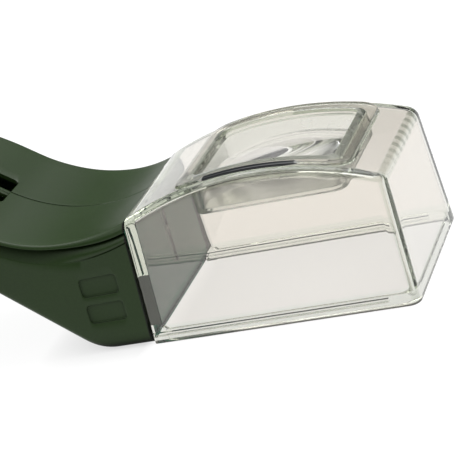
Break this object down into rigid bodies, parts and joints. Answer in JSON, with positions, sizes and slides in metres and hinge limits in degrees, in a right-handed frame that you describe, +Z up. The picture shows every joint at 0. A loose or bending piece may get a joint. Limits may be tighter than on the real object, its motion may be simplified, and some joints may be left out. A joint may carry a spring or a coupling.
{
  "type": "bug catcher",
  "caption": "Hand-held bug catcher: clear arched chamber with a magnifier in its roof, an arched hollow handle and a flexible trap door pushed by a thumb slider.",
  "frame": {"origin": "bottom centre of the whole tool, on the surface that it stands on, with the door open", "axes": "+X along the tool towards the chamber's end wall, -Y the near side with the sunk panels, +Z up"},
  "size_m": [0.256, 0.066, 0.0734],
  "materials": {
    "clear_shell": "clear, polished",
    "clear_frame": "clear, polished",
    "lens": "clear, polished",
    "handle": "fine satin texture, dark green",
    "slider": "satin, very dark green",
    "clear_door": "clear, flexible",
    "screw_steel": "zinc plated"
  },
  "bodies": {
    "handle": {"chamber": "clear_shell", "lens_frame": "clear_frame", "magnifier_lens": "lens", "handle_left": "handle", "handle_right": "handle", "handle_screws": "screw_steel", "door_sheet": "clear_door"},
    "door": {"trap_door": "clear_door"},
    "slider": {"thumb_slider": "slider", "slider_clamp": "slider", "clamp_screws": "screw_steel"}
  },
  "joints": [
    {"name": "slider_run", "type": "hinge", "parent": "handle", "child": "slider", "pos_m": [-0.07618, 0, -0.02675], "axis": [0, 1, 0], "range_deg": [0, 55.66]},
    {"name": "door_slide", "type": "slide", "parent": "handle", "child": "door", "axis": [1, 0, 0], "range_m": [0, 0.0855], "deforming": ["door_sheet"]}
  ],
  "couplings": [
    {"joint": "door_slide", "follows": "slider_run", "m_per_rad": 0.088}
  ]
}
